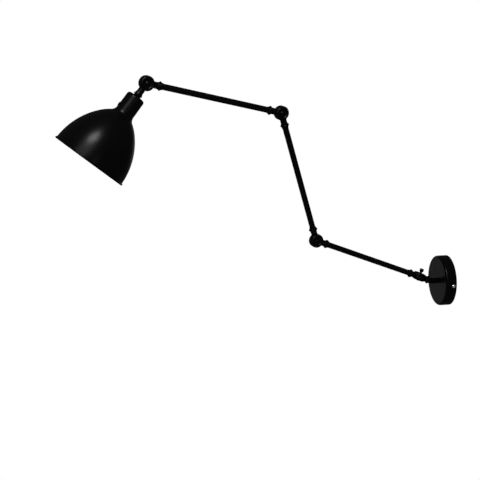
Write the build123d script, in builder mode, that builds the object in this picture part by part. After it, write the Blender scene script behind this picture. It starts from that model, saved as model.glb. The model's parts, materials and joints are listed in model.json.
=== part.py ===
"""Articulating wall lamp: a wall canopy, three tube arms on round knuckles and a bell shade.

The wall is the plane X = 0 and the lamp stands out along -X, with +Z up. Each knuckle has its own
plane: local X runs along the arm that leaves it and local Z along the axle, out of that arm's half.
"""

import os
from math import asin, cos, sin

from build123d import *

os.makedirs("parts", exist_ok=True)

# --- Driving dimensions (mm, degrees) ---------------------------------------------------------

TUBE_D = 13.0  # arm tube
TUBE_BORE = 9.9
ARM_LENGTH = 310.0  # axle to axle, the same for all three arms

CANOPY_D = 120.0
CANOPY_DEPTH = 26.0
CANOPY_SHEET = 1.2
CANOPY_CORNER = 5.0
CANOPY_SCREW_X = 8.5  # side screws, from the wall

STEM_STRAIGHT = 16.0  # canopy face to the bend
STEM_SLANT = 32.0  # bend to the base axle
STEM_RISE = 22.5  # slope of the stem's outer end, and so of the first arm
STEM_BEND_RADIUS = 8.0

KNUCKLE_D = 31.0
KNUCKLE_HALF = 9.0  # mid plane to the crest of the rim
KNUCKLE_WEB = 7.0  # mid plane to the dished face
KNUCKLE_CAVITY_TOP = 5.2
CAVITY_R = 12.0
HUB_R = 5.0
HALVES_GAP = 0.8  # between the flat faces of two knuckle halves
WASHER_T = 0.7
NECK_D = 14.0
NECK_END = 22.0  # from the axle, along the arm
WALL_NECK_END = 17.0
COLLAR_LENGTH = 13.0
COLLAR_PEAK_X = 6.4  # from the collar's knuckle end to its ring
COLLAR_PEAK_D = 19.5
HEAD_COLLAR_LENGTH = 11.0
SPIGOT_D = 9.8
SPIGOT_END = 45.0
SPIGOT_BORE = 5.4
WALL_SPIGOT_D = 11.0
AXLE_D = 5.0
AXLE_HOLE_D = 5.1
HEAD_SEAT = 7.05  # under a screw's head, just clear of the dish that turns beneath it
SHANK_END = 9.2  # the axle's end, past the mid plane and inside the cap nut
THREAD_PLAY = 0.05  # radial, between a threaded piece and its hole

HOLDER_TOP_D = 38.4
HOLDER_BASE_D = 39.6
HOLDER_BASE_X = 71.0  # head axle to where the cover meets the shade, along the shade's axis
HOLDER_SHEET = 1.2
SHADE_SHEET = 0.9
NECK_CURVE = (14.3, 54.6)  # radius and turn of the three arcs from the cover to the rim
SHOULDER_CURVE = (97.5, -13.6)
SIDE_CURVE = (145.5, -40.3)
RIM_BEAD_R = 2.2
SWITCH_X = 63.9
SWITCH_BEHIND = 73.0  # how far round behind the head's left outline the switch sits

CORD_D = 3.8
CORD_LEVEL = 2.7  # height of the cord over a knuckle's mid plane

BRACKET_SHEET = 2.5
WALL_SCREW_SPACING = 66.0
TERMINAL_Z = 15.0  # terminal block over the cable hole
EARTH_Z = -17.0

# The pose: how far the lamp is swung and folded as it stands
SWING = 14.3
ELBOW_1_TURN = 48.8
ELBOW_2_TURN = -57.7
HEAD_TURN = -64.8

# --- Directions and axles ---------------------------------------------------------------------

ORIGIN = Vector(0, 0, 0)
OUT = Vector(-1, 0, 0)
stem_dir = OUT.rotate(Axis.Y, STEM_RISE)
swing_axis = Vector(0, 0, 1).rotate(Axis.Y, STEM_RISE)
elbow_axis = Vector(0, 1, 0).rotate(Axis(ORIGIN, swing_axis), SWING)
fold = Axis(ORIGIN, elbow_axis)

arm_1_dir = stem_dir.rotate(Axis(ORIGIN, swing_axis), SWING)
arm_2_dir = arm_1_dir.rotate(fold, ELBOW_1_TURN)
arm_3_dir = arm_2_dir.rotate(fold, ELBOW_2_TURN)
head_dir = arm_3_dir.rotate(fold, HEAD_TURN)

COLLAR_END = NECK_END + COLLAR_LENGTH
WALL_COLLAR_END = WALL_NECK_END + COLLAR_LENGTH
HEAD_COLLAR_END = NECK_END + HEAD_COLLAR_LENGTH

stem_bend = OUT * (CANOPY_DEPTH + STEM_STRAIGHT)
base_axle = stem_bend + stem_dir * STEM_SLANT
elbow_1_axle = base_axle + arm_1_dir * ARM_LENGTH
elbow_2_axle = elbow_1_axle + arm_2_dir * ARM_LENGTH
head_axle = elbow_2_axle + arm_3_dir * ARM_LENGTH


def end_plane(axle, along, outward):
    """The plane of one knuckle half: X along its arm, Z along the axle, away from its partner."""
    return Plane(origin=axle, x_dir=along, z_dir=outward)


def axle_profile(plane):
    """The plane through the axle: its X is a radius along the arm, its Y runs up the axle."""
    return Plane(origin=plane.origin, x_dir=plane.x_dir, z_dir=-plane.y_dir)


WALL_END = end_plane(base_axle, -stem_dir, -swing_axis)
ARM_1_BASE = end_plane(base_axle, arm_1_dir, swing_axis)
ARM_1_END = end_plane(elbow_1_axle, -arm_1_dir, -elbow_axis)
ARM_2_BASE = end_plane(elbow_1_axle, arm_2_dir, elbow_axis)
ARM_2_END = end_plane(elbow_2_axle, -arm_2_dir, -elbow_axis)
ARM_3_BASE = end_plane(elbow_2_axle, arm_3_dir, elbow_axis)
ARM_3_END = end_plane(head_axle, -arm_3_dir, -elbow_axis)
HEAD_BASE = end_plane(head_axle, head_dir, elbow_axis)


def save(piece, name):
    """Label one finished piece and write it to its own file."""
    piece.label = name
    export_step(piece, f"parts/{name}.step")


# --- Knuckles, collars and tubes --------------------------------------------------------------


def dome(radius, foot, height):
    """The arc of a round cap over the axle, from its edge to its top."""
    ball = (radius**2 + height**2) / (2 * height)
    centre = foot + height - ball
    half_way = asin(radius / ball) / 2
    return ThreePointArc(
        (radius, foot), (ball * sin(half_way), centre + ball * cos(half_way)), (0, foot + height)
    )


def knuckle_half(plane, name, neck_end=NECK_END, spigot_d=SPIGOT_D, spigot_end=SPIGOT_END):
    """A cast half: a dished disc over a cord cavity, with a neck and a hollow threaded spigot."""
    low = HALVES_GAP / 2
    rim_r = KNUCKLE_D / 2
    neck_r = NECK_D / 2
    spigot_r = spigot_d / 2
    # half section as (radius, height): flat face, outer wall, rounded rim, dished middle
    with BuildPart() as half:
        with BuildSketch(axle_profile(plane)):
            with BuildLine():
                Polyline((0, KNUCKLE_WEB), (0, low), (rim_r, low), (rim_r, 4.6))
                ThreePointArc((rim_r, 4.6), (14.3, 7.7), (11.6, KNUCKLE_HALF))
                ThreePointArc((11.6, KNUCKLE_HALF), (9.9, 8.5), (8.6, KNUCKLE_WEB))
                Line((8.6, KNUCKLE_WEB), (0, KNUCKLE_WEB))
            make_face()
        revolve(axis=Axis(plane.origin, plane.z_dir))
        with BuildSketch(plane):
            with BuildLine():
                Polyline((8, 0), (8, neck_r), (neck_end, neck_r), (neck_end, spigot_r))
                Polyline((neck_end, spigot_r), (spigot_end, spigot_r), (spigot_end, 0), (8, 0))
            make_face()
        revolve(axis=Axis(plane.origin, plane.x_dir))
        # room for the partner's disc beside the neck
        with BuildSketch(plane.offset(low)):
            Circle(rim_r + 0.5)
        extrude(amount=-NECK_D, mode=Mode.SUBTRACT)
        # ring-shaped cord cavity round the hub
        with BuildSketch(plane.offset(low)):
            Circle(CAVITY_R)
            Circle(HUB_R, mode=Mode.SUBTRACT)
        extrude(amount=KNUCKLE_CAVITY_TOP - low, mode=Mode.SUBTRACT)
        with BuildSketch(plane):
            Circle(AXLE_HOLE_D / 2)
        extrude(amount=KNUCKLE_HALF, mode=Mode.SUBTRACT)
        # the cord's way out: level with the cavity at first, then down the middle of the spigot
        mouth = Plane(plane.origin + plane.x_dir * 9, x_dir=plane.y_dir, z_dir=plane.x_dir)
        with BuildSketch(mouth):
            with Locations((0, CORD_LEVEL)):
                Circle(2.4)
        extrude(amount=12.5, mode=Mode.SUBTRACT)
        with BuildSketch(mouth.offset(7.5)):
            Circle(SPIGOT_BORE / 2)
        extrude(amount=SPIGOT_END, mode=Mode.SUBTRACT)
    save(half.part, name)


def collar(plane, name, start=NECK_END, length=COLLAR_LENGTH, spigot_d=SPIGOT_D):
    """A turned lock collar: two shallow cones that meet in a thin raised ring."""
    end = start + length
    bore_r = spigot_d / 2 + THREAD_PLAY
    end_r = 6.9
    peak_r = COLLAR_PEAK_D / 2
    peak_x = start + COLLAR_PEAK_X
    with BuildPart() as ring:
        with BuildSketch(plane):
            with BuildLine():
                Polyline(
                    (start, bore_r),
                    (start, end_r),
                    (peak_x - 0.8, peak_r - 1.3),
                    (peak_x - 0.5, peak_r),
                    (peak_x + 0.5, peak_r),
                    (peak_x + 0.8, peak_r - 1.3),
                    (end, end_r),
                    (end, bore_r),
                    close=True,
                )
            make_face()
        revolve(axis=Axis(plane.origin, plane.x_dir))
    save(ring.part, name)


def arm_tube(plane, name):
    """A plain tube from collar to collar."""
    start = Plane(plane.origin + plane.x_dir * COLLAR_END, x_dir=plane.y_dir, z_dir=plane.x_dir)
    with BuildPart() as tube:
        with BuildSketch(start):
            Circle(TUBE_D / 2)
            Circle(TUBE_BORE / 2, mode=Mode.SUBTRACT)
        extrude(amount=ARM_LENGTH - 2 * COLLAR_END)
    save(tube.part, name)


def friction_washer(plane, name):
    """The thin fibre ring between two knuckle halves, seated on the half of this plane."""
    with BuildPart() as washer:
        with BuildSketch(plane.offset(HALVES_GAP / 2)):
            Circle(15.0)
            Circle(CAVITY_R, mode=Mode.SUBTRACT)
        extrude(amount=-WASHER_T)
    save(washer.part, name)


def axle_screw(plane, name):
    """A domed screw head in the near dish, with its plain shank through both halves."""
    shank_r = AXLE_D / 2
    head_r = 4.4
    with BuildPart() as screw:
        with BuildSketch(axle_profile(plane)):
            with BuildLine():
                Polyline((0, 9.6), (0, -SHANK_END), (shank_r, -SHANK_END), (shank_r, HEAD_SEAT))
                Polyline((shank_r, HEAD_SEAT), (head_r, HEAD_SEAT), (head_r, 7.8))
                dome(head_r, 7.8, 1.8)
            make_face()
        revolve(axis=Axis(plane.origin, plane.z_dir))
        with BuildSketch(plane.offset(8.7)):
            Rectangle(1.1, 12)
        extrude(amount=2, mode=Mode.SUBTRACT)
    save(screw.part, name)


def cap_nut(plane, name):
    """A domed nut in the far dish, over the screw's end. Its plane looks out of that dish."""
    cap_r = 3.7
    with BuildPart() as nut:
        with BuildSketch(plane.offset(KNUCKLE_WEB)):
            RegularPolygon(radius=4.6, side_count=6)
        extrude(amount=1.4)
        with BuildSketch(axle_profile(plane)):
            with BuildLine():
                Polyline((0, 10.8), (0, 8.2), (cap_r, 8.2), (cap_r, 8.8))
                dome(cap_r, 8.8, 2.0)
            make_face()
        revolve(axis=Axis(plane.origin, plane.z_dir))
        with BuildSketch(plane):
            Circle(AXLE_D / 2 + THREAD_PLAY)
        extrude(amount=9.4, mode=Mode.SUBTRACT)
    save(nut.part, name)


# the cord's way out of a knuckle, in its own plane: round the hub, over the lip, down the spigot
CORD_EXIT = (
    Vector(0, 8, CORD_LEVEL),
    Vector(7.2, 6, CORD_LEVEL),
    Vector(10.4, 0, CORD_LEVEL),
    Vector(16, 0, CORD_LEVEL),
    Vector(23, 0, 0),
)
CORD_EXIT_BENDS = (3.0, 3.0, 2.6, 5.0)  # bend radii at all but the first of those points


def sweep_cord(points, radii, name):
    """A round cord along straight runs joined by arcs."""
    with BuildPart() as cord:
        with BuildLine() as route:
            FilletPolyline(*points, radius=radii)
        with BuildSketch(Plane(origin=route.line @ 0, z_dir=route.line % 0)):
            Circle(CORD_D / 2)
        sweep()
    save(cord.part, name)


def cord_in_arm(start, end, name):
    """One arm's stretch of cord, from the cavity of one knuckle to the cavity of the next."""
    points = [start.from_local_coords(point) for point in CORD_EXIT]
    points += [end.from_local_coords(point) for point in reversed(CORD_EXIT)]
    sweep_cord(points, CORD_EXIT_BENDS + CORD_EXIT_BENDS[::-1], name)


# --- The wall side ------------------------------------------------------------------------------


def wall_bracket():
    """A steel strap on the wall: slots for two wall screws and an ear for each canopy screw."""
    slot_y = WALL_SCREW_SPACING / 2
    ear_face = CANOPY_D / 2 - CANOPY_SHEET - 1.3
    ear_reach = 16.0
    with BuildPart() as bracket:
        with BuildSketch(Plane.YZ):
            Rectangle(2 * ear_face, 14)
            RectangleRounded(48, 52, 4)
            Circle(6, mode=Mode.SUBTRACT)
            with Locations((-slot_y, 0), (slot_y, 0)):
                SlotOverall(12, 5, mode=Mode.SUBTRACT)
            with Locations((0, EARTH_Z)):
                Circle(1.7, mode=Mode.SUBTRACT)
        extrude(amount=-BRACKET_SHEET)
        for side in (-1, 1):
            with BuildSketch(Plane.XZ.offset(-side * ear_face)):
                with Locations((-ear_reach / 2, 0)):
                    Rectangle(ear_reach, 14)
            extrude(amount=side * BRACKET_SHEET)
        with BuildSketch(Plane.XZ):
            with Locations((-CANOPY_SCREW_X, 0)):
                Circle(2 + THREAD_PLAY)
        extrude(amount=60, both=True, mode=Mode.SUBTRACT)
    save(bracket.part, "wall_bracket")


def canopy():
    """A spun cup over the bracket, open to the wall, with a hole for the stem and two at the sides."""
    outer = CANOPY_D / 2
    with BuildPart() as cup:
        with BuildSketch(Plane.YZ):
            Circle(outer)
        extrude(amount=-CANOPY_DEPTH)
        fillet(cup.edges().sort_by(Axis.X)[0], CANOPY_CORNER)
        offset(amount=-CANOPY_SHEET, openings=cup.faces().sort_by(Axis.X)[-1])
        with BuildSketch(Plane.YZ):
            Circle(SPIGOT_D / 2 + THREAD_PLAY)
        extrude(amount=-CANOPY_DEPTH, mode=Mode.SUBTRACT)
        with BuildSketch(Plane.XZ):
            with Locations((-CANOPY_SCREW_X, 0)):
                Circle(2.3)
        extrude(amount=outer, both=True, mode=Mode.SUBTRACT)
    save(cup.part, "canopy")


def canopy_screws():
    """Two cheese-head screws, through the canopy's side into the bracket's ears."""
    seat = CANOPY_D / 2
    with BuildPart() as screws:
        for side in (-1, 1):
            face = Plane(origin=(-CANOPY_SCREW_X, side * seat, 0), x_dir=(1, 0, 0), z_dir=(0, side, 0))
            with BuildSketch(face):
                Circle(3.8)
            extrude(amount=2.6)
            with BuildSketch(face):
                Circle(2)
            extrude(amount=-8)
            with BuildSketch(face.offset(1.6)):
                Rectangle(10, 1.2)
            extrude(amount=1.5, mode=Mode.SUBTRACT)
        fillet(screws.edges().filter_by(GeomType.CIRCLE).filter_by(lambda e: e.radius > 3.5)
               .group_by(SortBy.DISTANCE)[-1], 0.5)
    save(screws.part, "canopy_screws")


def stem_fixing():
    """What holds the stem in the canopy's face: a hollow nipple, a washer and a nut."""
    inner_face = -CANOPY_DEPTH + CANOPY_SHEET
    with BuildPart() as nipple:
        with BuildSketch(Plane.YZ.offset(-CANOPY_DEPTH - 8)):
            Circle(SPIGOT_D / 2)
            Circle(SPIGOT_BORE / 2, mode=Mode.SUBTRACT)
        extrude(amount=21)
    save(nipple.part, "stem_nipple")

    with BuildPart() as washer:
        with BuildSketch(Plane.YZ.offset(inner_face)):
            Circle(13)
            Circle(SPIGOT_D / 2 + THREAD_PLAY, mode=Mode.SUBTRACT)
        extrude(amount=1.5)
    save(washer.part, "stem_washer")

    with BuildPart() as nut:
        with BuildSketch(Plane.YZ.offset(inner_face + 1.5)):
            RegularPolygon(radius=8.5, side_count=6)
            Circle(SPIGOT_D / 2 + THREAD_PLAY, mode=Mode.SUBTRACT)
        extrude(amount=5)
        chamfer(nut.edges().group_by(Axis.X)[-1].filter_by(GeomType.LINE), 0.6)
    save(nut.part, "stem_nut")


def wall_stem():
    """The short tube that leaves the canopy level and then turns up to the first arm's slope."""
    tip = base_axle - stem_dir * WALL_COLLAR_END
    with BuildPart() as stem:
        with BuildLine():
            FilletPolyline(OUT * CANOPY_DEPTH, stem_bend, tip, radius=STEM_BEND_RADIUS)
        with BuildSketch(Plane(origin=OUT * CANOPY_DEPTH, z_dir=OUT)):
            Circle(TUBE_D / 2)
            Circle(TUBE_BORE / 2, mode=Mode.SUBTRACT)
        sweep()
    save(stem.part, "wall_stem")


def terminal_block():
    """A two-way block on the bracket's plate, its screws in wells on the room side."""
    height = 11.0
    well_depth = 4.0
    wells = ((-6, TERMINAL_Z), (6, TERMINAL_Z))
    top = Plane.YZ.offset(-BRACKET_SHEET - height)
    with BuildPart() as block:
        with BuildSketch(top):
            with Locations((0, TERMINAL_Z)):
                Rectangle(26, 12)
        extrude(amount=height)
        fillet(block.edges().filter_by(Axis.X), 1.0)
        with BuildSketch(top):
            with Locations(*wells):
                Circle(2.6)
        extrude(amount=well_depth, mode=Mode.SUBTRACT)
    save(block.part, "terminal_block")

    with BuildPart() as screws:
        with BuildSketch(top.offset(well_depth)):
            with Locations(*wells):
                Circle(2.2)
        extrude(amount=-1.6)
        with BuildSketch(top.offset(well_depth - 1.6)):
            with Locations(*wells):
                Rectangle(6, 0.7)
        extrude(amount=1, mode=Mode.SUBTRACT)
    save(screws.part, "terminal_screws")


def earth_screw():
    """The earth screw under the cable hole, with a cross slot."""
    seat = Plane.YZ.offset(-BRACKET_SHEET)
    with BuildPart() as screw:
        with BuildSketch(seat):
            with Locations((0, EARTH_Z)):
                Circle(3.6)
        extrude(amount=-2.4)
        with BuildSketch(seat.offset(-1.7)):
            with Locations((0, EARTH_Z)):
                Rectangle(5, 0.9)
                Rectangle(0.9, 5)
        extrude(amount=-1, mode=Mode.SUBTRACT)
        with BuildSketch(seat):
            with Locations((0, EARTH_Z)):
                Circle(1.7 - THREAD_PLAY)
        extrude(amount=BRACKET_SHEET)
    save(screw.part, "earth_screw")


def clamp_screw():
    """The base axle: a shank through both halves with a small fluted knob on top."""
    top = ARM_1_BASE
    shank_r = AXLE_D / 2
    neck_r = 2.2
    knob_r = 4.0
    with BuildPart() as clamp:
        with BuildSketch(axle_profile(top)):
            with BuildLine():
                Polyline((0, -SHANK_END), (shank_r, -SHANK_END), (shank_r, HEAD_SEAT))
                Polyline((shank_r, HEAD_SEAT), (4.6, HEAD_SEAT), (4.6, 8.6), (neck_r, 9.4))
                Polyline((neck_r, 9.4), (neck_r, 12.2), (knob_r, 13.0), (knob_r, 19.0))
                dome(knob_r, 19.0, 1.3)
                Line((0, 20.3), (0, -SHANK_END))
            make_face()
        revolve(axis=Axis(top.origin, top.z_dir))
        with BuildSketch(top.offset(13.4)):
            with PolarLocations(4.25, 12):
                Circle(0.5)
        extrude(amount=7, mode=Mode.SUBTRACT)
    save(clamp.part, "clamp_screw")


def wall_cord():
    """The cord from the terminal block through the nipple and stem to the base knuckle."""
    points = [Vector(-8.5, 0, 9), Vector(-8.5, 0, 0), stem_bend]
    points += [WALL_END.from_local_coords(point) for point in reversed(CORD_EXIT)]
    sweep_cord(points, (5.0, 14.0) + CORD_EXIT_BENDS[::-1], "wall_cord")


# --- The head -----------------------------------------------------------------------------------


# the head's half sections lie in its base plane: X down the shade's axis, Y out from it
HEAD_LINE = Axis(HEAD_BASE.origin, HEAD_BASE.x_dir)


def revolved(name, *corners):
    """A turned piece of the head from the corners of its half section, as (along, out)."""
    with BuildPart() as piece:
        with BuildSketch(HEAD_BASE):
            with BuildLine():
                Polyline(*corners, close=True)
            make_face()
        revolve(axis=HEAD_LINE)
    save(piece.part, name)


def switch_plane(radius):
    """A plane square to the switch's axle, this far out from the head's axis."""
    outward = HEAD_BASE.y_dir.rotate(Axis(ORIGIN, HEAD_BASE.x_dir), SWITCH_BEHIND)
    centre = HEAD_BASE.origin + HEAD_BASE.x_dir * SWITCH_X + outward * radius
    return Plane(origin=centre, x_dir=HEAD_BASE.x_dir, z_dir=outward)


def lampholder_cover():
    """The metal cover over the lampholder, with round shoulders and a hole for the switch."""
    top = HEAD_COLLAR_END
    top_r = HOLDER_TOP_D / 2
    base_r = HOLDER_BASE_D / 2
    with BuildPart() as cover:
        with BuildSketch(HEAD_BASE):
            with BuildLine():
                Polyline((top, 0), (top, top_r), (HOLDER_BASE_X, base_r), (HOLDER_BASE_X, 0), close=True)
            make_face()
        revolve(axis=HEAD_LINE)
        fillet(cover.edges().filter_by(GeomType.CIRCLE).sort_by(HEAD_LINE)[0], 5)
        mouth = cover.faces().sort_by(HEAD_LINE)[-1]
        offset(amount=-HOLDER_SHEET, openings=mouth)
        with BuildSketch(Plane(origin=HEAD_BASE.origin, z_dir=HEAD_BASE.x_dir)):
            Circle(SPIGOT_D / 2 + THREAD_PLAY)
        extrude(amount=top + 5, mode=Mode.SUBTRACT)
        with BuildSketch(switch_plane(10)):
            Circle(3.1)
        extrude(amount=15, mode=Mode.SUBTRACT)
    save(cover.part, "lampholder_cover")


def holder_nut():
    """The nut that holds the cover to the head knuckle's spigot."""
    with BuildPart() as nut:
        with BuildSketch(Plane(origin=HEAD_BASE.origin + HEAD_BASE.x_dir * 34.2, z_dir=HEAD_BASE.x_dir)):
            RegularPolygon(radius=8.2, side_count=6)
            Circle(SPIGOT_D / 2 + THREAD_PLAY, mode=Mode.SUBTRACT)
        extrude(amount=4)
    save(nut.part, "holder_nut")


def switch():
    """The turn switch: its body in the cover, a nut outside and the small knob on its spindle."""
    with BuildPart() as body:
        with BuildSketch(switch_plane(4.0)):
            RectangleRounded(8, 13, 1)
        extrude(amount=12.5)
        with BuildSketch(switch_plane(16.5)):
            Circle(3.0)
        extrude(amount=6.2)
        with BuildSketch(switch_plane(16.5)):
            Circle(1.6)
        extrude(amount=6.2, mode=Mode.SUBTRACT)
    save(body.part, "switch_body")

    with BuildPart() as nut:
        with BuildSketch(switch_plane(20.05)):
            RegularPolygon(radius=4.4, side_count=6)
            Circle(3.05, mode=Mode.SUBTRACT)
        extrude(amount=1.8)
    save(nut.part, "switch_nut")

    with BuildPart() as knob:
        with BuildSketch(switch_plane(17.0)):
            Circle(1.55)
        extrude(amount=7)
        with BuildSketch(switch_plane(23.0)):
            Circle(3.3)
        extrude(amount=3)
        with BuildSketch(switch_plane(26.0)):
            SlotOverall(9.0, 4.2)
        extrude(amount=7.5)
        fillet(knob.faces().sort_by(Axis(ORIGIN, switch_plane(0).z_dir))[-1].edges(), 0.8)
    save(knob.part, "switch_knob")


def shade():
    """The spun bell: a hollow neck curve, a round shoulder, long sides and a rolled rim."""
    neck_r = HOLDER_BASE_D / 2
    with BuildPart() as bell:
        with BuildSketch(HEAD_BASE):
            with BuildLine():
                neck = JernArc((HOLDER_BASE_X, neck_r), (1, 0), *NECK_CURVE)
                shoulder = JernArc(neck @ 1, neck % 1, *SHOULDER_CURVE)
                side = JernArc(shoulder @ 1, shoulder % 1, *SIDE_CURVE)
                offset(amount=SHADE_SHEET, side=Side.RIGHT)
            make_face()
            with Locations(side @ 1):
                Circle(RIM_BEAD_R)
            # inward flange that the ring grips
            with Locations((HOLDER_BASE_X + SHADE_SHEET / 2, neck_r - 2.3)):
                Rectangle(SHADE_SHEET, 3.6)
        revolve(axis=HEAD_LINE)
    save(bell.part, "shade")


def lampholder():
    """The porcelain body, the ring that clamps the shade to it, the brass shell and the contact."""
    base = HOLDER_BASE_X
    clamped = base + SHADE_SHEET
    revolved("lampholder_core", (base - 3, 0), (base - 3, 18.5), (base, 18.5), (base, 15.7), (100, 15.7),
             (100, 13.8), (74.5, 13.8), (74.5, 0))
    revolved("shade_ring", (clamped, 15.75), (clamped, 18.0), (clamped + 6, 18.0), (clamped + 6, 15.75))
    revolved("screw_shell", (75.6, 11.5), (75.6, 13.75), (99, 13.75), (99, 13.35), (76.1, 13.35),
             (76.1, 11.5))
    revolved("centre_contact", (74.5, 0), (74.5, 5), (75.1, 5), (76.4, 2.5), (76.4, 0))


def bulb():
    """A plain lamp bulb in the holder: its brass cap, frosted glass and insulating tip."""
    revolved("bulb_contact_tip", (76.4, 0), (76.4, 4.2), (78.4, 7.0), (80.0, 9.5), (80.0, 0))
    revolved("bulb_cap", (80.0, 9.5), (81.5, 13.0), (102.0, 13.0), (102.0, 12.6), (82.0, 12.6), (80.6, 0),
             (80.0, 0))
    with BuildPart() as glass:
        with BuildSketch(HEAD_BASE):
            with BuildLine():
                start = Line((102.0, 0), (102.0, 12.9))
                throat = Line(start @ 1, (106.0, 13.4))
                flank = Spline(
                    throat @ 1,
                    (122.0, 19.6),
                    (136.0, 26.6),
                    (151.0, 30.0),
                    tangents=(throat % 1, (1, 0)),
                )
                RadiusArc(flank @ 1, (181.0, 0), 30)
                Line((181.0, 0), start @ 0)
            make_face()
        revolve(axis=HEAD_LINE)
        offset(amount=-0.8, openings=glass.faces().filter_by(GeomType.PLANE))
    save(glass.part, "bulb_glass")


def head_cord():
    """The cord from the head knuckle into the cover, past the switch to the lampholder."""
    aside = switch_plane(0).z_dir * -9
    points = [HEAD_BASE.from_local_coords(point) for point in CORD_EXIT]
    points += [head_axle + head_dir * 46]
    points += [head_axle + head_dir * 54 + aside]
    points += [head_axle + head_dir * (HOLDER_BASE_X - 3) + aside]
    sweep_cord(points, CORD_EXIT_BENDS + (8.0, 8.0), "head_cord")


# --- All pieces ---------------------------------------------------------------------------------

wall_bracket()
canopy()
canopy_screws()
terminal_block()
earth_screw()
stem_fixing()
wall_stem()
wall_cord()
collar(WALL_END, "wall_collar", start=WALL_NECK_END, spigot_d=WALL_SPIGOT_D)
knuckle_half(WALL_END, "base_knuckle_wall_half", neck_end=WALL_NECK_END, spigot_d=WALL_SPIGOT_D,
             spigot_end=WALL_COLLAR_END)
cap_nut(WALL_END, "base_nut")
clamp_screw()

ARMS = ((1, ARM_1_BASE, ARM_1_END), (2, ARM_2_BASE, ARM_2_END), (3, ARM_3_BASE, ARM_3_END))
for number, inner, outer in ARMS:
    arm = f"arm_{number}"
    friction_washer(inner, f"{arm}_washer")
    knuckle_half(inner, f"{arm}_inner_half")
    collar(inner, f"{arm}_inner_collar")
    arm_tube(inner, f"{arm}_tube")
    cord_in_arm(inner, outer, f"{arm}_cord")
    collar(outer, f"{arm}_outer_collar")
    knuckle_half(outer, f"{arm}_outer_half")

JOINTS = (("elbow_1", ARM_1_END, ARM_2_BASE), ("elbow_2", ARM_2_END, ARM_3_BASE),
          ("head", ARM_3_END, HEAD_BASE))
for joint, near, far in JOINTS:
    axle_screw(near, f"{joint}_screw")
    cap_nut(far, f"{joint}_nut")

friction_washer(HEAD_BASE, "head_washer")
knuckle_half(HEAD_BASE, "head_knuckle_half")
collar(HEAD_BASE, "head_collar", length=HEAD_COLLAR_LENGTH)
lampholder_cover()
holder_nut()
switch()
shade()
lampholder()
bulb()
head_cord()
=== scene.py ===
# %% [markdown]
# # An articulating wall lamp, step by step
#
# The lamp is one finish almost everywhere: satin black paint on turned, spun and cast metal.
# A black object on a white page is read by its highlights alone, so most of this lesson is
# about round edges that catch light, and about where the soft lights stand.
#
# The solid parts come in first as the frame. Each has its real size and place, and each body
# of the lamp can turn about its own joint. What is made here rides on those bodies.

import json
from math import cos, pi, radians, sin

import bmesh
import bpy
from mathutils import Matrix, Vector


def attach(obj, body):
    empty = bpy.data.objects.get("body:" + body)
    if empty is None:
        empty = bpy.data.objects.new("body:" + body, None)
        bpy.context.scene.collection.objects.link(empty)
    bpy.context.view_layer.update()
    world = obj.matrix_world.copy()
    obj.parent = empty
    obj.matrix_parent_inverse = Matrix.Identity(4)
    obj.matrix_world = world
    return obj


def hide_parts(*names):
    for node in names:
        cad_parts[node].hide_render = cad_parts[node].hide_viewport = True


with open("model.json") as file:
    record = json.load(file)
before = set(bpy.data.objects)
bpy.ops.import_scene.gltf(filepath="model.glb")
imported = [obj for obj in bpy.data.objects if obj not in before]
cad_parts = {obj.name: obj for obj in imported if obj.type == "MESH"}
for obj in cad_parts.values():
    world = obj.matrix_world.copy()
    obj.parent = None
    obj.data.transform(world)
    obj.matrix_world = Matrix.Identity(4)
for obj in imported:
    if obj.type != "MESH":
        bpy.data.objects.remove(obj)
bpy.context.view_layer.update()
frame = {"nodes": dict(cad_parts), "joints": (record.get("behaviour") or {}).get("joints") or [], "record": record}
nodes = frame["nodes"]

# %% [markdown]
# ## Axles and directions
#
# Every piece of this lamp is turned about some line: a tube about its own length, a knuckle
# about its axle, the shade about the line from the head's axle down through the bulb. The
# joints of the frame give those lines, so nothing is placed by eye: two axles give an arm its
# direction, and the base's axis gives the stem's.

# %% Axles from the joints
joints = {joint["name"]: joint for joint in frame["joints"]}


def axle(name):
    """Where a joint's axle stands, in metres."""
    return Vector(joints[name]["pos_m"])


def axis(name):
    """The direction of a joint's axis."""
    return Vector(joints[name]["axis"]).normalized()


BASE = axle("base_swing")
ELBOW_1 = axle("elbow_1_fold")
ELBOW_2 = axle("elbow_2_fold")
HEAD = axle("head_tilt")
ARM_ENDS = ((BASE, ELBOW_1), (ELBOW_1, ELBOW_2), (ELBOW_2, HEAD))

# The stem is square to the base axle. The switch stands 24 mm out from the bulb's line, which
# gives a second point of that line beside the head's axle.
SWING_AXIS = axis("base_swing")
STEM = Vector((-SWING_AXIS.z, 0, SWING_AXIS.x))
SWITCH_OUT = 0.024
SHADE_LINE = (axle("switch_turn") - SWITCH_OUT * axis("switch_turn") - HEAD).normalized()

print("arm lengths in mm:", [round((b - a).length * 1000, 1) for a, b in ARM_ENDS])
print("the shade points along", [round(part, 3) for part in SHADE_LINE])

# %% [markdown]
# ## Camera
#
# The lamp is seen from the room, a little left of square to the arms and a little above them.
# The camera could be aimed at an object, but a view that has to match a picture is set more
# surely from its own angles: how far round it stands, how high, and how much it rolls. The
# lens follows from the picture's width and the distance at which the near shade looks just
# that much larger than the far canopy.

# %% Camera
PICTURE = 480
FOCAL_PIXELS = 984.9
SENSOR_MM = 36
AZIMUTH = radians(-10.72)
ELEVATION = radians(11.51)
ROLL = radians(-0.24)
CAMERA_PLACE = (-0.9223, -2.1818, 0.5721)

back = Vector((sin(AZIMUTH) * cos(ELEVATION), -cos(AZIMUTH) * cos(ELEVATION), sin(ELEVATION)))
right = Vector((cos(AZIMUTH), sin(AZIMUTH), 0))
up = back.cross(right)
turned_right = cos(ROLL) * right + sin(ROLL) * up
turned_up = cos(ROLL) * up - sin(ROLL) * right

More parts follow.
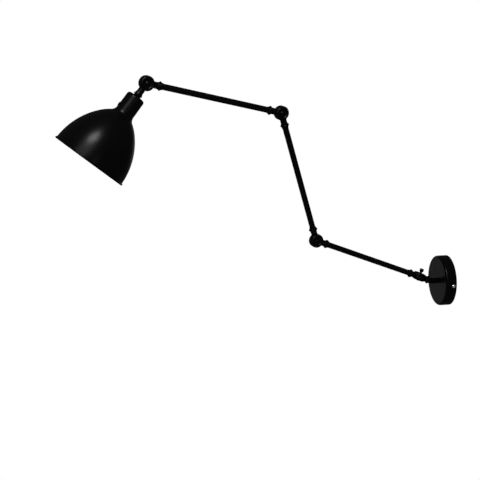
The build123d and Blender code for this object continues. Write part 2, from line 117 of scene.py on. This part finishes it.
camera_data = bpy.data.cameras.new("camera")
camera_data.sensor_width = SENSOR_MM
camera_data.lens = SENSOR_MM * FOCAL_PIXELS / PICTURE
camera_data.clip_end = 50
camera = bpy.data.objects.new("camera", camera_data)
camera.matrix_world = Matrix((turned_right, turned_up, back)).transposed().to_4x4()
camera.location = CAMERA_PLACE
bpy.context.scene.collection.objects.link(camera)
bpy.context.scene.camera = camera
bpy.context.scene.view_settings.view_transform = "Standard"
print("lens:", round(camera_data.lens, 1), "mm")

# %% [markdown]
# ## Floor, page and lights
#
# The picture is a plain white page. The page's white is only what the camera and mirror-like
# rays see: the light that falls on the lamp is set apart from it, so that black paint stays
# black. The lamp hangs on a wall, so its floor is well below, and is clear from underneath, so
# that the bulb can be looked at too. Soft lights as large as windows give long, even highlights.

# %% A page that only the camera and mirrors see
def mixed(tree, share, first, second):
    """Two shaders mixed by a share."""
    mix = tree.nodes.new("ShaderNodeMixShader")
    tree.links.new(share, mix.inputs["Fac"])
    tree.links.new(first, mix.inputs[1])
    tree.links.new(second, mix.inputs[2])
    return mix.outputs[0]


def larger(tree, first, second):
    """The larger of two values."""
    most = tree.nodes.new("ShaderNodeMath")
    most.operation = "MAXIMUM"
    tree.links.new(first, most.inputs[0])
    tree.links.new(second, most.inputs[1])
    return most.outputs[0]


def seen_white(tree, plain):
    """A shader that is white to the camera and in reflections, and plain to all other rays."""
    path = tree.nodes.new("ShaderNodeLightPath").outputs
    camera_or_gloss = larger(tree, path["Is Camera Ray"], path["Is Glossy Ray"])
    seen = larger(tree, camera_or_gloss, path["Is Transmission Ray"])
    page = tree.nodes.new("ShaderNodeBackground" if plain.type == "BACKGROUND" else "ShaderNodeEmission")
    page.inputs["Color"].default_value = (1, 1, 1, 1)
    page.inputs["Strength"].default_value = 1
    return mixed(tree, seen, plain.outputs[0], page.outputs[0])


ROOM_STRENGTH = 0.35

world = bpy.data.worlds.new("page")
world.use_nodes = True
bpy.context.scene.world = world
room = world.node_tree
room_light = room.nodes["Background"]
room_light.inputs["Color"].default_value = (1, 1, 1, 1)
room_light.inputs["Strength"].default_value = ROOM_STRENGTH
room.links.new(seen_white(room, room_light), room.nodes["World Output"].inputs["Surface"])
print("world:", world.name, "at strength", ROOM_STRENGTH)

# %% Floor
FLOOR_Z = -0.9
FLOOR_REACH = 6

floor_paint = bpy.data.materials.new("floor_paint")
floor_paint.use_nodes = True
pale = floor_paint.node_tree
floor_shader = pale.nodes["Principled BSDF"]
floor_shader.inputs["Base Color"].default_value = (0.86, 0.86, 0.85, 1)
floor_shader.inputs["Roughness"].default_value = 0.9
from_below = pale.nodes.new("ShaderNodeNewGeometry").outputs["Backfacing"]
clear = pale.nodes.new("ShaderNodeBsdfTransparent").outputs[0]
one_sided = mixed(pale, from_below, seen_white(pale, floor_shader), clear)
pale.links.new(one_sided, pale.nodes["Material Output"].inputs["Surface"])

corners = [(FLOOR_REACH * x, FLOOR_REACH * y, FLOOR_Z) for x, y in ((-1, -1), (1, -1), (1, 1), (-1, 1))]
floor_mesh = bpy.data.meshes.new("floor")
floor_mesh.from_pydata(corners, [], [(0, 1, 2, 3)])
floor_mesh.materials.append(floor_paint)
floor = bpy.data.objects.new("floor", floor_mesh)
bpy.context.scene.collection.objects.link(floor)
print("floor", round(-FLOOR_Z, 2), "m below the wall mount")

# %% [markdown]
# ## Where the soft lights stand
#
# A glossy surface shows a light where the surface halves the angle between the light and the
# eye. So each light was placed from the highlight that it has to make: the key gives the round
# spot on the shade, the trail draws it out towards the rim, a strip beside the camera lifts the
# tubes, and two panels behind the lamp pick out the canopy's face and the shade's right side.

# %% Soft lights
def soft_light(name, aim, distance, towards, size, watts, width_along=(1, 0, 0)):
    """A rectangular light at a distance from a point that it faces, its width along a direction."""
    place = aim + distance * Vector(towards)
    data = bpy.data.lights.new(name, "AREA")
    data.shape = "RECTANGLE"
    data.size, data.size_y = size
    data.energy = watts
    lamp = bpy.data.objects.new(name, data)
    behind = (place - aim).normalized()
    across = (Vector(width_along) - Vector(width_along).dot(behind) * behind).normalized()
    lamp.matrix_world = Matrix((across, behind.cross(across), behind)).transposed().to_4x4()
    lamp.location = place
    bpy.context.scene.collection.objects.link(lamp)


SHADE_MIDDLE = HEAD + 0.13 * SHADE_LINE
CANOPY_FACE = Vector((-0.026, 0, 0))
soft_light("key", SHADE_MIDDLE, 2.0, (-0.06, -0.6, 0.8), (0.66, 0.6), 225)
soft_light("trail", SHADE_MIDDLE, 2.0, (-0.33, -0.76, 0.56), (1.2, 1.15), 88, (-0.44, -0.05, -0.33))
soft_light("beside_camera", SHADE_MIDDLE, 2.6, (0.19, -0.98, 0.05), (0.25, 0.6), 5)
soft_light("behind_left", CANOPY_FACE, 1.5, (-0.37, 0.9, -0.22), (0.8, 0.7), 5)
soft_light("behind_right", SHADE_MIDDLE, 2.0, (0.5, 0.86, -0.09), (0.5, 0.8), 12)

# %% [markdown]
# ## Satin black paint
#
# Powder paint on metal isn't smooth: it flows into a fine orange peel, and handling polishes it
# in soft patches. Its colour is also paler on sharp edges: partly thinner paint there, partly a
# painted highlight along the edges. One shader holds all of this: a noise for the peel, a larger
# noise for the patches, and the curve of the surface for the pale edges. The detail is worked out
# in the piece's own space, so it stays put in any view.

# %% A new finish, and greys
def finish(name, colour, roughness, metallic=0.0, gloss=0.5):
    """A new material and its main shader, with one plain value on each socket."""
    material = bpy.data.materials.new(name)
    material.use_nodes = True
    shader = material.node_tree.nodes["Principled BSDF"]
    shader.inputs["Base Color"].default_value = (*colour, 1)
    shader.inputs["Roughness"].default_value = roughness
    shader.inputs["Metallic"].default_value = metallic
    shader.inputs["Specular IOR Level"].default_value = gloss
    return material, shader


def grey(level):
    """A colour without hue."""
    return (level, level, level)


print("a mid grey:", grey(0.18))

# %% Noise, and colours laid over it
def noise(material, scale, detail=3, stretch=(1, 1, 1)):
    """A noise texture in the piece's own space, finer along the axes that are stretched."""
    tree = material.node_tree
    place = tree.nodes.new("ShaderNodeTexCoord")
    mapping = tree.nodes.new("ShaderNodeMapping")
    mapping.inputs["Scale"].default_value = stretch
    texture = tree.nodes.new("ShaderNodeTexNoise")
    texture.inputs["Scale"].default_value = scale
    texture.inputs["Detail"].default_value = detail
    tree.links.new(place.outputs["Object"], mapping.inputs["Vector"])
    tree.links.new(mapping.outputs["Vector"], texture.inputs["Vector"])
    return texture.outputs["Fac"]


def ramp(material, value, stops):
    """Turns a value into a colour or grey through stops of (position, colour)."""
    tree = material.node_tree
    node = tree.nodes.new("ShaderNodeValToRGB")
    node.color_ramp.elements[0].position = stops[0][0]
    node.color_ramp.elements[0].color = (*stops[0][1], 1)
    node.color_ramp.elements[1].position = stops[-1][0]
    node.color_ramp.elements[1].color = (*stops[-1][1], 1)
    for position, colour in stops[1:-1]:
        node.color_ramp.elements.new(position).color = (*colour, 1)
    tree.links.new(value, node.inputs["Fac"])
    return node.outputs["Color"]


STEEL_STREAKS = (1, 1, 12)
print("drawn steel is stretched", STEEL_STREAKS, "times along its axes")

# %% A fine grain
def grain(material, value, height_mm, strength=1.0):
    """Feeds a height into the shader's normal as a bump of that many millimetres."""
    tree = material.node_tree
    bump = tree.nodes.new("ShaderNodeBump")
    bump.inputs["Strength"].default_value = strength
    bump.inputs["Distance"].default_value = height_mm / 1000
    tree.links.new(value, bump.inputs["Height"])
    for socket in ("Normal", "Coat Normal"):
        tree.links.new(bump.outputs["Normal"], tree.nodes["Principled BSDF"].inputs[socket])


PEEL_MM = 0.08
print("the peel of the paint is", PEEL_MM, "mm high")

# %% Black paint
def black_skin(name, ground, roughness, skin, peel_mm=PEEL_MM, peel_scale=700):
    """Dead black under a thin clear skin: the skin alone shines, and its peel bends what it mirrors."""
    material, shader = finish(name, grey(ground), 0.6, gloss=0.0)
    shader.inputs["Coat Roughness"].default_value = roughness
    tree = material.node_tree
    rubbed = ramp(material, noise(material, 38, 4), [(0.3, grey(skin * 0.88)), (0.7, grey(skin * 1.12))])
    tree.links.new(rubbed, shader.inputs["Coat Weight"])
    curve = tree.nodes.new("ShaderNodeNewGeometry").outputs["Pointiness"]
    # Paler base colour on sharp edges: partly thinner paint, partly a painted highlight along the edges.
    worn_and_lit_edges = ramp(material, curve,
                      [(0.60, grey(ground)), (0.75, grey(ground * 2)), (0.90, grey(ground * 8))])
    tree.links.new(worn_and_lit_edges, shader.inputs["Base Color"])
    grain(material, noise(material, peel_scale, 2), peel_mm, 0.6)
    return material


SATIN_BLACK = black_skin("satin_black", 0.0002, 0.27, 0.026)
print("paint:", SATIN_BLACK.name)

# %% [markdown]
# ## The other finishes
#
# Little else shows, but the lamp is looked at from below and behind as well: zinc-plated
# steel on the wall, nickel on the canopy's screws, brass in the lampholder, glazed porcelain,
# opal glass, fibre washers and the cord's sheath. Each gets the one or two marks that its
# making leaves, such as the drawn streaks of steel or the slight mottle of a glaze.

# %% Metals
def bare_metal(name, colour, roughness, streaks):
    """Metal with fine streaks, and a mottle in its polish."""
    material, shader = finish(name, colour, roughness, metallic=1.0)
    tree = material.node_tree
    mottle = ramp(material, noise(material, 120, 5),
                  [(0.25, grey(roughness * 0.75)), (0.75, grey(roughness * 1.3))])
    tree.links.new(mottle, shader.inputs["Roughness"])
    dull = tuple(part * 0.86 for part in colour)
    tone = ramp(material, noise(material, 60, 4), [(0.3, dull), (0.7, colour)])
    tree.links.new(tone, shader.inputs["Base Color"])
    grain(material, noise(material, 400, 2, streaks), 0.03, 0.4)
    return material


ZINC_STEEL = bare_metal("zinc_steel", (0.56, 0.57, 0.58), 0.38, STEEL_STREAKS)
NICKEL = bare_metal("nickel", (0.2, 0.196, 0.188), 0.3, (1, 6, 1))
BRASS = bare_metal("brass", (0.72, 0.53, 0.24), 0.3, (1, 1, 8))
BLACKENED_STEEL = black_skin("blackened_steel", 0.0003, 0.24, 0.03, peel_mm=0.02, peel_scale=1500)
print("metals:", ZINC_STEEL.name, NICKEL.name, BRASS.name, BLACKENED_STEEL.name)

# %% Glaze, glass, fibre, sheath and plastic
def mottled(name, dark, pale, roughness, scale, bump_mm, gloss=0.5):
    """A material with a soft mottle in its colour and a fine bump."""
    material, shader = finish(name, pale, roughness, gloss=gloss)
    tone = ramp(material, noise(material, scale, 5), [(0.3, dark), (0.7, pale)])
    material.node_tree.links.new(tone, shader.inputs["Base Color"])
    grain(material, noise(material, scale * 6, 3), bump_mm, 0.5)
    return material


PORCELAIN = mottled("porcelain", (0.74, 0.73, 0.69), (0.82, 0.81, 0.77), 0.16, 90, 0.02, 0.6)
OPAL_GLASS = mottled("opal_glass", (0.84, 0.83, 0.79), (0.9, 0.89, 0.86), 0.3, 70, 0.01, 0.5)
opal = OPAL_GLASS.node_tree.nodes["Principled BSDF"]
opal.inputs["Subsurface Weight"].default_value = 0.3
opal.inputs["Subsurface Radius"].default_value = (0.004, 0.004, 0.004)
FIBRE = mottled("fibre", (0.0016, 0.0015, 0.0014), (0.003, 0.0028, 0.0026), 0.8, 300, 0.08, 0.03)
CORD_SHEATH = mottled("cord_sheath", (0.008, 0.008, 0.008), (0.014, 0.014, 0.014), 0.55, 200, 0.03, 0.2)
BLACK_PLASTIC = black_skin("black_plastic", 0.0006, 0.2, 0.06, peel_mm=0.02, peel_scale=1200)
BLACK_GLAZE = black_skin("black_glaze", 0.0008, 0.12, 0.12, peel_mm=0.01, peel_scale=400)
print("finishes:", len(bpy.data.materials))

# %% [markdown]
# ## Finishes on the solid parts
#
# Each solid part names the finish that it is made in. Most parts are already the right shape,
# so they stay as they are, and only their finish is set. One table serves them all, and it
# serves the pieces that are made later as well.

# %% Each solid part takes its finish
FINISH_OF = {
    "black_paint": SATIN_BLACK,
    "blackened_steel": BLACKENED_STEEL,
    "zinc_steel": ZINC_STEEL,
    "nickel": NICKEL,
    "brass": BRASS,
    "porcelain": PORCELAIN,
    "opal_glass": OPAL_GLASS,
    "fibre": FIBRE,
    "cord_sheath": CORD_SHEATH,
    "black_plastic": BLACK_PLASTIC,
    "black_glaze": BLACK_GLAZE,
}
slot_of = {part["node"]: part["material_slot"] for part in frame["record"]["subparts"]}
for name, part in nodes.items():
    part.data.materials.clear()
    part.data.materials.append(FINISH_OF[slot_of[name]])
print("painted:", len(nodes), "parts")

# %% [markdown]
# ## Turned collars
#
# A collar is made on a lathe: an outline turned once about the arm. The tool leaves no knife
# edges, so each corner of the outline is cut to a small curve before it's turned, and the
# faces' own sizes weight the shading, which keeps the cones straight and the edges soft.

# %% Turning an outline
def softened(outline, rounding):
    """The closed outline with each corner replaced by three points of a small curve."""
    points = [Vector(point) for point in outline]
    soft = []
    for place, corner in enumerate(points):
        to_last, to_next = points[place - 1] - corner, points[(place + 1) % len(points)] - corner
        cut = min(rounding, 0.4 * to_last.length, 0.4 * to_next.length)
        start, end = corner + cut * to_last.normalized(), corner + cut * to_next.normalized()
        soft += [start, (start + 2 * corner + end) / 4, end]
    return soft


def turned(name, outline_mm, centre, line, rounding_mm=0.3, steps=96):
    """A closed outline of (along, radius) in millimetres, turned about a line from a centre."""
    across = line.orthogonal().normalized()
    third = line.cross(across)
    shape = bmesh.new()
    rings = []
    for step in range(steps):
        outward = cos(2 * pi * step / steps) * across + sin(2 * pi * step / steps) * third
        rings.append([shape.verts.new(centre + (along * line + radius * outward) / 1000)
                      for along, radius in softened(outline_mm, rounding_mm)])
    for ring, following in zip(rings, rings[1:] + rings[:1]):
        for place in range(len(ring)):
            shape.faces.new((ring[place - 1], ring[place], following[place], following[place - 1]))
    bmesh.ops.recalc_face_normals(shape, faces=shape.faces)
    mesh = bpy.data.meshes.new(name)
    shape.to_mesh(mesh)
    shape.free()
    mesh.shade_smooth()
    piece = bpy.data.objects.new(name, mesh)
    bpy.context.scene.collection.objects.link(piece)
    piece.modifiers.new("even_shading", "WEIGHTED_NORMAL").keep_sharp = True
    return piece


SQUARE = ((0, 0), (1, 0), (1, 1), (0, 1))
print("a square's four corners soften to", len(softened(SQUARE, 0.2)), "points")

# %% [markdown]
# ## Taking a solid part's place
#
# A piece that is made here moves with the body of the solid part that it stands for, wears the
# same finish, and hides it. Saying all three in one helper keeps them together for each piece.

# %% Taking a solid part's place
body_of = {node: body for body, held in frame["record"]["behaviour"]["bodies"].items() for node in held}


def stand_for(piece, node):
    """Gives a piece its node's body and finish, and hides the node."""
    piece.data.materials.clear()
    piece.data.materials.append(FINISH_OF[slot_of[node]])
    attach(piece, body_of[node])
    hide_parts(node)


print("parts on the head:", sorted(node for node in body_of if body_of[node] == "head"))

# %% Collars
COLLAR_START = 22
RING_AT = 6.4
RING_RADIUS = 9.75
NECK_RADIUS = 6.9


def collar(node, centre, line, start=COLLAR_START, length=13, bore=4.95):
    """Two shallow cones that meet in a thin raised ring, in millimetres out from an axle."""
    ring = start + RING_AT
    end, cone_radius = start + length, RING_RADIUS - 1.3
    outline = [(start, bore), (start, NECK_RADIUS), (ring - 0.8, cone_radius), (ring - 0.5, RING_RADIUS),
               (ring + 0.5, RING_RADIUS), (ring + 0.8, cone_radius), (end, NECK_RADIUS), (end, bore)]
    stand_for(turned(node + "_turned", outline, centre, line), node)


for number, (inner, outer) in enumerate(ARM_ENDS, start=1):
    along = (outer - inner).normalized()
    collar(f"arm_{number}_inner_collar", inner, along)
    collar(f"arm_{number}_outer_collar", outer, -along)
collar("head_collar", HEAD, SHADE_LINE, length=11)
collar("wall_collar", BASE, -STEM, start=17, bore=5.55)

# %% [markdown]
# ## Cast knuckles
#
# A knuckle half is cast, then turned on its flat face. Metal poured into a mould has no sharp
# inside corner: where the neck leaves the disc there is a small fillet, and every outside edge
# is a little worn. A skin of small even faces over the solid, smoothed a few times, gives both
# at once, while flat and round faces stay where they are.

# %% Casting a solid part
SKIN_FACE = 0.0004
SMOOTHINGS = 7


def cast(node):
    """The solid part again as a casting, with its corners filled and its edges worn."""
    piece = bpy.data.objects.new(node + "_cast", nodes[node].data.copy())
    bpy.context.scene.collection.objects.link(piece)
    skin = piece.modifiers.new("skin", "REMESH")
    skin.mode = "VOXEL"
    skin.voxel_size = SKIN_FACE
    worn = piece.modifiers.new("worn", "SMOOTH")
    worn.factor = 0.5
    worn.iterations = SMOOTHINGS
    skinned = bpy.data.meshes.new_from_object(piece.evaluated_get(bpy.context.evaluated_depsgraph_get()))
    piece.modifiers.clear()
    piece.data = skinned
    skinned.shade_smooth()
    stand_for(piece, node)
    return piece


KNUCKLES = [node for node in nodes if node.endswith("_half")]
castings = [cast(node) for node in KNUCKLES]
print("castings:", len(castings), "faces:", sum(len(piece.data.polygons) for piece in castings))

# %% [markdown]
# ## The clamp screw
#
# The base knuckle is held by a small hand screw. Its grip and neck are a little thicker on the
# real lamp than on the solid part, and its flutes are just right, so the solid's own surface is
# kept and only swollen: each point above the head is moved straight out from the screw's line.

# %% Swelling the grip and the neck
NECK_START_MM = 8.8
SWELL_MM = 0.85
CENTRE_MM = 0.5


def swollen(node, centre, line, start_mm, swell_mm):
    """The solid part again, made thicker about its line from a height upwards."""
    mesh = nodes[node].data.copy()
    piece = bpy.data.objects.new(node + "_swollen", mesh)
    bpy.context.scene.collection.objects.link(piece)
    moved = 0
    for point in mesh.vertices:
        along = (point.co - centre).dot(line)
        outward = point.co - centre - along * line
        if along * 1000 > start_mm and outward.length * 1000 > CENTRE_MM:
            point.co += min(swell_mm / 1000, outward.length) * outward.normalized()
            moved += 1
    mesh.update()
    stand_for(piece, node)
    print("swollen:", node, "points moved:", moved)


swollen("clamp_screw", axle("clamp_turn"), axis("clamp_turn"), NECK_START_MM, SWELL_MM)
